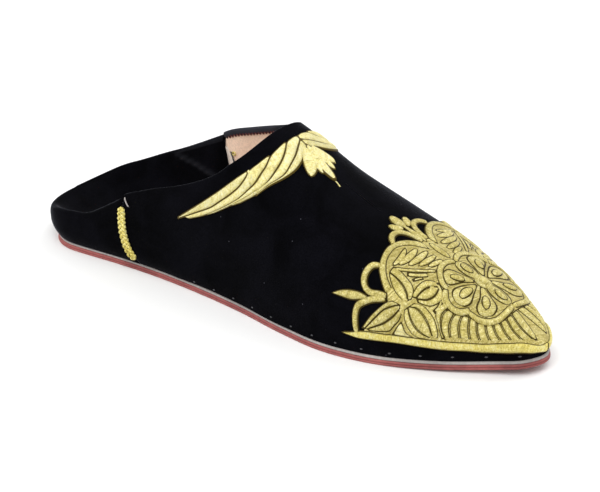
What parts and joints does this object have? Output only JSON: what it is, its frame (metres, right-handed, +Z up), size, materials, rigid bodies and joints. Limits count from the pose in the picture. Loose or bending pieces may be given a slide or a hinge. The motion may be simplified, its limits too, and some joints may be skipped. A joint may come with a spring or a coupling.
{
  "type": "babouche slipper",
  "caption": "Right pointed velvet babouche slipper with gold thread embroidery on toe and instep, a folded-down heel quarter and a flat leather sole.",
  "frame": {"origin": "under the middle of the shoe, halfway between the back of the heel and the point of the toe, on the plane the sole stands on", "axes": "+X along the shoe towards the toe, +Y towards the inner (medial) side of the right foot, +Z up"},
  "size_m": [0.2678, 0.088, 0.0785],
  "materials": {
    "sole_leather": "red-dyed sole leather with a trimmed, slightly burnished edge",
    "pale_leather": "undyed pale grey leather edge",
    "sock_leather": "smooth pink-beige sheepskin lining",
    "velvet": "black cotton velvet, short dense pile with a soft sheen",
    "gold_thread": "pale gold metallic thread in padded satin stitch"
  },
  "bodies": {
    "root": {"outsole": "sole_leather", "midsole": "pale_leather", "insole": "sock_leather", "upper": "velvet", "heel_quarter": "velvet"}
  },
  "joints": []
}
